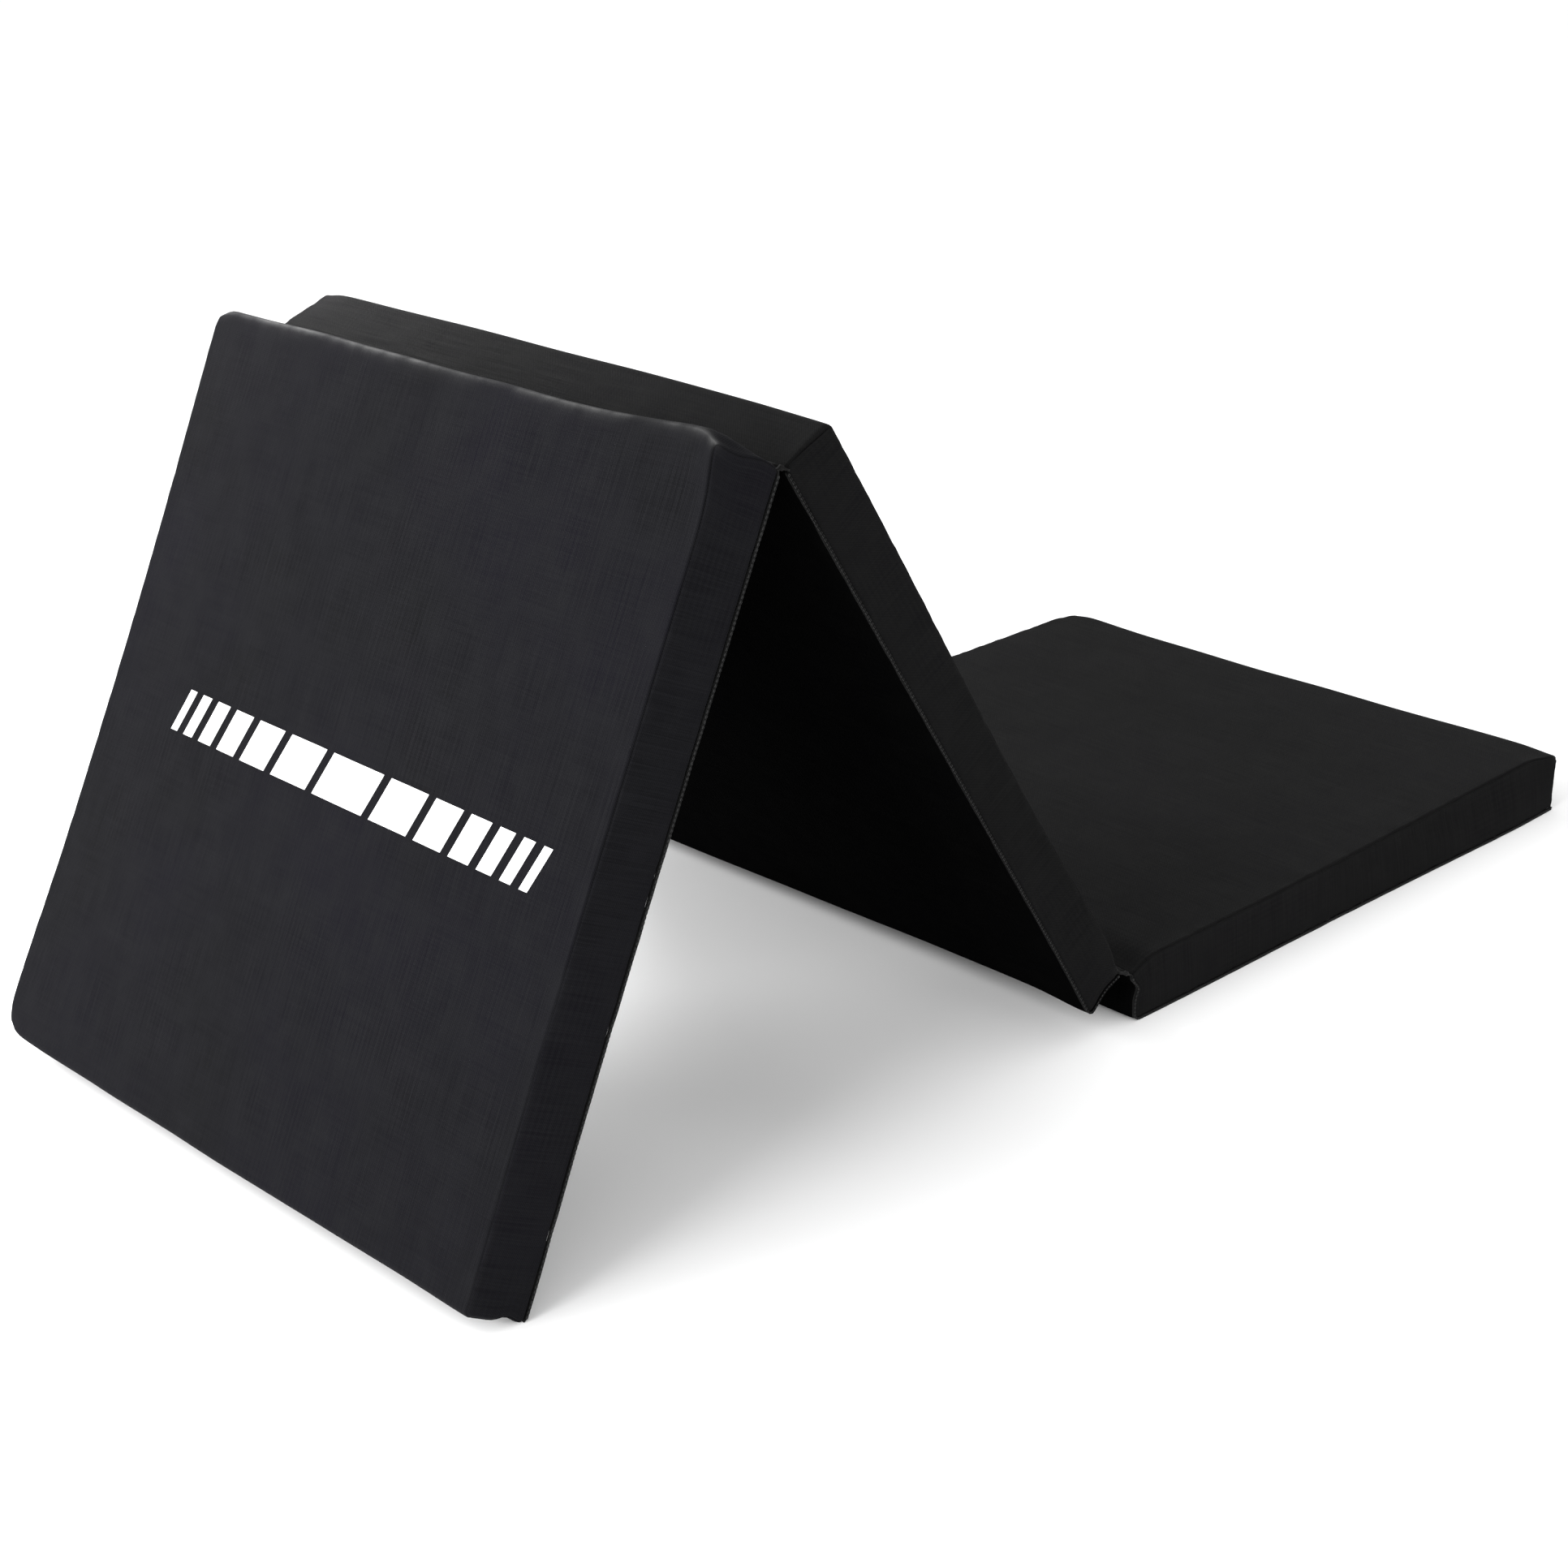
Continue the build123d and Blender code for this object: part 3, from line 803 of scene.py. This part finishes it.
def make_window_stitches(section, thread):
    """A row of stitches round the zip's opening, through the cover and the tape."""
    seam = []
    margin = 2.6 * MM
    out = np.array([0.0, 1.0, 0.0])
    for side in (-1, 1):
        w = THICK / 2 + side * (ZIP_WINDOW + margin)
        for start in np.arange(-ZIP_HALF - margin, ZIP_HALF + margin - STITCH_LENGTH, STITCH_PITCH):
            seam.append((np.array([start, WALL, w]), np.array([start + STITCH_LENGTH, WALL, w]), out))
        u = side * (ZIP_HALF + margin)
        for start in np.arange(-ZIP_WINDOW - margin, ZIP_WINDOW + margin - STITCH_LENGTH, STITCH_PITCH):
            here = THICK / 2 + start
            seam.append((np.array([u, WALL, here]), np.array([u, WALL, here + STITCH_LENGTH]), out))
    make_stitches(f"{section.name}_zip_stitches", section, seam, thread)


# ---- Print ----
def make_print(material):
    """Slanted bars of transfer film that lie on the front section's cloth."""
    source = frame["nodes"]["front_emblem"].data
    points = np.array([v.co for v in source.vertices])
    local = np.stack(
        [(points - front.origin) @ front.x, points @ ACROSS, (points - front.origin) @ front.z], axis=1
    )
    low, high = local[:, 0].min(), local[:, 0].max()
    starts = np.unique(np.round(local[local[:, 0] < low + 0.1 * MM, 1], 5))
    ends = np.unique(np.round(local[local[:, 0] > high - 0.1 * MM, 1], 5))
    all_points, all_faces, all_uvs = [], [], []
    for bar in range(len(starts) // 2):
        columns = max(3, round((starts[2 * bar + 1] - starts[2 * bar]) / (3 * MM)) + 1)
        rows = 12
        box = []
        for r in np.linspace(0, 1, rows):
            left = starts[2 * bar] * (1 - r) + ends[2 * bar] * r
            right = starts[2 * bar + 1] * (1 - r) + ends[2 * bar + 1] * r
            box += [(low * (1 - r) + high * r, v, THICK) for v in np.linspace(left, right, columns)]
        box = np.array(box)
        place, normal = surface(front, box)
        first = len(all_points)
        all_points += list(front.world(place + normal * 0.12 * MM))
        all_uvs += [(p[0], p[1]) for p in box]
        all_faces += [tuple(first + n for n in face) for face in grid_faces(rows, columns)]
    points = np.array(all_points)
    faces = outward(points, all_faces, np.tile(front.z, (len(points), 1)))
    piece = add_object("front_print", points, faces, material, all_uvs, "front")
    film = piece.modifiers.new("film thickness", "SOLIDIFY")
    film.thickness, film.offset = 0.22 * MM, 1
    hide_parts("front_emblem")


# ---- Materials ----
class Shader:
    """A small helper that wires one Principled material."""

    def __init__(self, name, **sockets):
        self.material = bpy.data.materials.new(name)
        self.material.use_nodes = True
        self.tree = self.material.node_tree
        self.bsdf = self.tree.nodes["Principled BSDF"]
        for socket, value in sockets.items():
            self.bsdf.inputs[socket.replace("_", " ")].default_value = value

    def put(self, value, socket):
        """Sets a socket to a plain value, or links another node's output to it."""
        if isinstance(value, (int, float, tuple)):
            socket.default_value = value
        else:
            self.tree.links.new(value, socket)

    def feed(self, socket, source):
        """Links a value to one of the material's own sockets."""
        self.put(source, self.bsdf.inputs[socket])

    def node(self, kind, inputs=None, **settings):
        made = self.tree.nodes.new(kind)
        for key, value in settings.items():
            setattr(made, key, value)
        for key, value in (inputs or {}).items():
            self.put(value, made.inputs[key])
        return made

    def math(self, operation, *values):
        return self.node("ShaderNodeMath", dict(enumerate(values)), operation=operation).outputs[0]

    def times(self, first, second):
        return self.math("MULTIPLY", first, second)

    def cloth_uv(self):
        uv = self.node("ShaderNodeUVMap", uv_map="cloth").outputs[0]
        split = self.node("ShaderNodeSeparateXYZ", {0: uv})
        return uv, split.outputs[0], split.outputs[1]

    def noise(self, vector, scale, detail=2.0, stretch=(1, 1, 1)):
        mapping = self.node("ShaderNodeMapping", {"Vector": vector, "Scale": stretch})
        inputs = {"Vector": mapping.outputs[0], "Scale": scale, "Detail": detail}
        return self.node("ShaderNodeTexNoise", inputs).outputs[0]

    def spread(self, value, low, high, to_low=0.0, to_high=1.0):
        inputs = {"Value": value, "From Min": low, "From Max": high, "To Min": to_low, "To Max": to_high}
        return self.node("ShaderNodeMapRange", inputs).outputs[0]

    def mix(self, share, first, second):
        return self.node("ShaderNodeMix", {0: share, 6: first, 7: second}, data_type="RGBA").outputs[2]

    def bump(self, height, distance, strength=1.0):
        inputs = {"Height": height, "Distance": distance, "Strength": strength}
        self.feed("Normal", self.node("ShaderNodeBump", inputs).outputs[0])


def grey(value, warm=0.0, cool=0.0):
    return (value + warm, value, value + cool, 1.0)


def weave_height(shader, x, y):
    """Plain weave: threads that run along x and y and cross over each other by turns."""
    along = shader.math("DIVIDE", x, WEAVE_PITCH)
    across = shader.math("DIVIDE", y, WEAVE_PITCH)
    threads = []
    for this, other, sign in ((along, across, 1.0), (across, along, -1.0)):
        crown = shader.math("ABSOLUTE", shader.math("SINE", shader.times(this, math.pi)))
        turn = shader.times(shader.math("ADD", other, shader.math("FLOOR", this)), math.pi)
        lift = shader.math("MULTIPLY_ADD", shader.math("COSINE", turn), 0.5 * sign, 0.5)
        threads.append(shader.times(crown, lift))
    return shader.math("MAXIMUM", *threads)


def cover_cloth(name, dark, light, tint, sheen=0.02, wear_light=0.06, gloss=0.012, ribbing=0.5):
    """Matte woven polyester: slubs in both thread directions, soft blotches, and rubbed edges lightened
    further as a painted highlight.
    """
    shader = Shader(name, Roughness=0.82, Sheen_Weight=sheen, Sheen_Roughness=0.45, Specular_IOR_Level=gloss)
    uv, x, y = shader.cloth_uv()
    weave = weave_height(shader, x, y)
    slub_x = shader.noise(uv, 1.0, 3.0, (900, 14, 1))
    slub_y = shader.noise(uv, 1.0, 3.0, (14, 900, 1))
    blotch = shader.noise(uv, 5.0, 4.0)
    slub_x, slub_y = shader.times(slub_x, 2 - ribbing), shader.times(slub_y, ribbing)
    slubs = shader.math("ADD", slub_x, slub_y)
    ribs = shader.math("SINE", shader.times(y, 2 * math.pi / (5 * MM)))
    patchy = shader.spread(shader.noise(uv, 7.0, 2.0), 0.42, 0.62)
    ribs = shader.times(shader.times(ribs, patchy), 0.16)
    base = shader.mix(shader.spread(blotch, 0.38, 0.66), dark, tint)
    base = shader.mix(shader.spread(shader.math("ADD", slubs, ribs), 0.70, 1.45), base, light)
    mottle = shader.spread(shader.noise(uv, 34.0, 4.0), 0.42, 0.72, 0.0, 0.6)
    base = shader.mix(mottle, base, light)
    base = shader.mix(shader.spread(weave, 0.0, 0.5, 0.45, 0.0), base, grey(0.0012))
    # Painted highlight: the rounded edges that the wear attribute marks are lightened, partly as wear and
    # partly as a highlight.
    worn_and_lit = shader.node("ShaderNodeAttribute", attribute_name="wear").outputs["Fac"]
    rubbed_and_highlit = shader.times(worn_and_lit, shader.spread(shader.noise(uv, 50.0, 3.0), 0.2, 0.6))
    rubbed_and_highlit = shader.times(rubbed_and_highlit, shader.spread(shader.noise(uv, 8.0, 2.0), 0.36, 0.56))
    base = shader.mix(rubbed_and_highlit, base, grey(wear_light))
    shader.feed("Base Color", base)
    rough = shader.spread(slubs, 0.7, 1.3, 0.88, 0.72)
    shader.feed("Roughness", rough)
    height = shader.math("MULTIPLY_ADD", slubs, 0.35, weave)
    shader.bump(height, 0.16 * MM, 0.8)
    return shader.material


def tape_cloth(name, dark, light, sheen=0.03):
    """Ribbed tape: fine ribs across it, and lighter crowns where it is folded, set by the wear attribute,
    which on the bound seams also holds painted shade near the floor.
    """
    shader = Shader(name, Roughness=0.82, Sheen_Weight=sheen, Sheen_Roughness=0.5, Specular_IOR_Level=0.04)
    uv, x, y = shader.cloth_uv()
    ribs = shader.math("ABSOLUTE", shader.math("SINE", shader.times(x, math.pi / TAPE_RIB_PITCH)))
    fuzz = shader.noise(uv, 700.0, 3.0)
    share = shader.times(ribs, shader.spread(fuzz, 0.3, 0.7))
    # Lighter rib crowns from the wear attribute: wear, and on the bound seams painted shade near the floor.
    worn_and_lit = shader.node("ShaderNodeAttribute", attribute_name="wear").outputs["Fac"]
    share = shader.times(share, worn_and_lit)
    shader.feed("Base Color", shader.mix(share, dark, light))
    shader.bump(shader.math("MULTIPLY_ADD", fuzz, 0.4, ribs), 0.12 * MM, 0.8)
    return shader.material


def object_space(shader):
    return shader.node("ShaderNodeTexCoord").outputs["Object"]


def thread_look(name, dark, light):
    shader = Shader(name, Roughness=0.6, Sheen_Weight=0.1, Sheen_Roughness=0.4, Specular_IOR_Level=0.2)
    fuzz = shader.noise(object_space(shader), 2600.0, 3.0)
    shader.feed("Base Color", shader.mix(shader.spread(fuzz, 0.35, 0.65), dark, light))
    shader.bump(fuzz, 0.08 * MM, 0.7)
    return shader.material


def foam_look(name):
    shader = Shader(name, Roughness=0.9, Specular_IOR_Level=0.3)
    cells = shader.node("ShaderNodeTexVoronoi", {"Scale": 700.0, "Vector": object_space(shader)})
    share = shader.spread(cells.outputs["Distance"], 0.1, 0.6)
    shader.feed("Base Color", shader.mix(share, grey(0.55), grey(0.8, 0.01, -0.02)))
    shader.bump(cells.outputs["Distance"], 0.4 * MM, 0.6)
    return shader.material


def nylon_look(name):
    shader = Shader(name, Roughness=0.38, Specular_IOR_Level=0.5)
    scuff = shader.noise(object_space(shader), 900.0, 4.0)
    black = shader.mix(shader.spread(scuff, 0.4, 0.7), grey(0.012), grey(0.03))
    shader.feed("Base Color", black)
    shader.feed("Roughness", shader.spread(scuff, 0.3, 0.7, 0.3, 0.5))
    shader.bump(scuff, 0.05 * MM, 0.4)
    return shader.material


def painted_look(name):
    """Black painted zinc, rubbed through to bare metal in places."""
    shader = Shader(name, Roughness=0.35, Specular_IOR_Level=0.5)
    space = object_space(shader)
    chips = shader.spread(shader.noise(space, 420.0, 6.0), 0.62, 0.68)
    shader.feed("Base Color", shader.mix(chips, grey(0.014), grey(0.42)))
    shader.feed("Metallic", chips)
    rough = shader.spread(shader.noise(space, 1500.0, 3.0), 0.3, 0.7, 0.28, 0.46)
    shader.feed("Roughness", rough)
    shader.bump(shader.noise(space, 800.0, 3.0), 0.05 * MM, 0.3)
    return shader.material


def film_look(name):
    """White transfer film: the weave shows through it, with a few fine cracks."""
    shader = Shader(name, Roughness=0.55, Specular_IOR_Level=0.4)
    uv, x, y = shader.cloth_uv()
    weave = weave_height(shader, x, y)
    crack = shader.node("ShaderNodeTexVoronoi", {"Scale": 160.0, "Vector": uv}, feature="DISTANCE_TO_EDGE")
    lines = shader.spread(crack.outputs["Distance"], 0.0, 0.012, 0.35, 0.0)
    blotch = shader.spread(shader.noise(uv, 60.0, 3.0), 0.3, 0.7)
    white = shader.mix(blotch, grey(0.86), grey(0.93))
    shader.feed("Base Color", shader.mix(lines, white, grey(0.62)))
    shader.bump(weave, 0.06 * MM, 0.5)
    return shader.material


def plain_look(name, value):
    """The floor: pale, with the faintest mottle."""
    shader = Shader(name, Roughness=0.85, Specular_IOR_Level=0.2)
    mottle = shader.noise(object_space(shader), 2.0, 3.0)
    pale = shader.mix(shader.spread(mottle, 0.3, 0.7), grey(value - 0.01), grey(value))
    shader.feed("Base Color", pale)
    return shader.material


# ---- Camera and light ----
def make_camera():
    """At the photograph's viewing angle, turned a little about its own line of sight."""
    azimuth, elevation, roll = math.radians(-42.33), math.radians(22.35), math.radians(-1.53)
    level = math.cos(elevation)
    back = Vector((math.sin(azimuth) * level, -math.cos(azimuth) * level, math.sin(elevation)))
    right = (-back).cross(Vector((0, 0, 1))).normalized()
    up = right.cross(-back)
    turned_right = right * math.cos(roll) + up * math.sin(roll)
    turned_up = up * math.cos(roll) - right * math.sin(roll)
    camera = bpy.data.objects.new("camera", bpy.data.cameras.new("camera"))
    camera.data.lens, camera.data.sensor_width = 68.77, 36
    camera.data.clip_start, camera.data.clip_end = 0.1, 100
    camera.matrix_world = Matrix.Translation((-1.9483, -1.7062, 1.0978)) @ Matrix(
        (turned_right, turned_up, back)
    ).transposed().to_4x4()
    scene.collection.objects.link(camera)
    scene.camera = camera


def area_light(name, place, target, size, power):
    light = bpy.data.lights.new(name, "AREA")
    light.shape, light.size, light.size_y, light.energy = "RECTANGLE", size[0], size[1], power
    made = bpy.data.objects.new(name, light)
    made.location = place
    made.rotation_euler = (Vector(target) - Vector(place)).to_track_quat("-Z", "Y").to_euler()
    scene.collection.objects.link(made)


def make_studio():
    world = bpy.data.worlds.new("studio")
    world.use_nodes = True
    world.node_tree.nodes["Background"].inputs[0].default_value = (1.0, 1.0, 1.0, 1.0)
    world.node_tree.nodes["Background"].inputs[1].default_value = 1.1
    scene.world = world
    scene.view_settings.view_transform = "Standard"
    area_light("key", (-4.2, -0.1, 1.4), (-0.6, 0, 0.25), (2.4, 2.0), 150)
    area_light("rim", (-2.0, 2.1, 1.35), (-0.65, 0.1, 0.5), (1.0, 1.0), 75)
    area_light("fill", (-0.5, -2.7, 1.0), (-0.35, 0, 0.2), (1.6, 1.2), 18)
    area_light("edge", (-0.62, 0.52, 0.80), (-0.68, 0.28, 0.56), (0.12, 0.12), 6)
    size = 40
    floor = add_object(
        "floor", [(-size, -size, 0), (size, -size, 0), (size, size, 0), (-size, size, 0)], [(0, 1, 2, 3)],
        plain_look("floor", 0.92),
    )
    floor.location.z = -0.2 * MM


# ---- Assembly ----
make_camera()
make_studio()

# The front section's cloth is a little bluer than that of the others.
blue_dark, blue_light = grey(0.0047, 0.0, 0.0008), grey(0.0086, 0.0, 0.0014)
cover = cover_cloth("cover cloth", grey(0.0040, -0.0001, 0.0001), grey(0.0070), grey(0.0045, 0.0002, 0.0007))
printed_cover = cover_cloth(
    "printed cloth", blue_dark, blue_light, grey(0.0050, 0.0004, 0.0026), wear_light=0.075, ribbing=1.25
)
front_wall = cover_cloth("front wall cloth", blue_dark, blue_light, grey(0.0050, 0.0004, 0.0020))
# Painted shade: the back sheets get a near-black copy of the cover cloth for the shade inside the folded mat.
shaded_back_tint = grey(0.0015, 0.0, 0.0002)
shaded_back_cloth = cover_cloth(
    "back cloth", grey(0.0014), grey(0.0026), shaded_back_tint, sheen=0.0, wear_light=0.004, gloss=0.0
)
binding = tape_cloth("seam tape", grey(0.006), grey(0.017))
# Painted shade: the middle's seam tape is a darker copy of the same seam tape.
shaded_middle_binding = tape_cloth("darker seam tape", grey(0.0028), grey(0.008), sheen=0.008)
hinge_cloth = tape_cloth("hinge cloth", grey(0.004), grey(0.008))
zip_tape = tape_cloth("zip tape", grey(0.012), grey(0.028))
thread = thread_look("thread", grey(0.013), grey(0.032))
foam = foam_look("foam")
nylon = nylon_look("nylon")
painted = painted_look("painted zinc")
film = film_look("white film")

for section in sections:
    section.puff = simulate_puff(section)
    make_sheet(section, FACE, printed_cover if section is front else cover)
    make_sheet(section, BACK, shaded_back_cloth)
    for wall in (NEAR, FAR):
        make_gusset(section, wall, front_wall if section is front else cover)
        make_binding(section, wall, shaded_middle_binding if section is middle else binding, thread)
    make_foam(section, foam)
    make_coil(section, nylon)
    make_window_stitches(section, thread)
    for node in ("zip_tapes", "zip_stops", "zip_slider", "zip_pull"):
        look = zip_tape if node == "zip_tapes" else painted
        piece = frame["nodes"][f"{section.name}_{node}"]
        piece.data.materials.clear()
        piece.data.materials.append(look)

make_print(film)

front_fold_nodes = ("front_fold_tape", "middle_front_fold_tape", "front_fold_welt")
rear_fold_nodes = ("middle_rear_fold_tape", "rear_fold_tape", "rear_fold_welt")
folds = (
    ("front_fold", front, middle, front_axis, front_fold_nodes, 0.0, 0.25),
    ("rear_fold", middle, rear, rear_axis, rear_fold_nodes, 9.5 * MM, 1.0),
)
edge = WALL - 1 * MM
for name, section_a, section_b, axis, nodes, droop, rub_and_painted_shade in folds:
    make_hinge(
        f"{name}_cloth", section_a, section_b, axis, -edge, edge, 1.0, hinge_cloth, nodes,
        droop
    )
    for wall, side in WALL_NAMES.items():
        low, high = sorted((wall * edge, wall * (WALL + TAPE_REACH)))
        make_hinge(
            f"{name}_{side}_bound_seam", section_a, section_b, axis, low, high, 1.15, binding, (),
            droop, rub_and_painted_shade,
        )
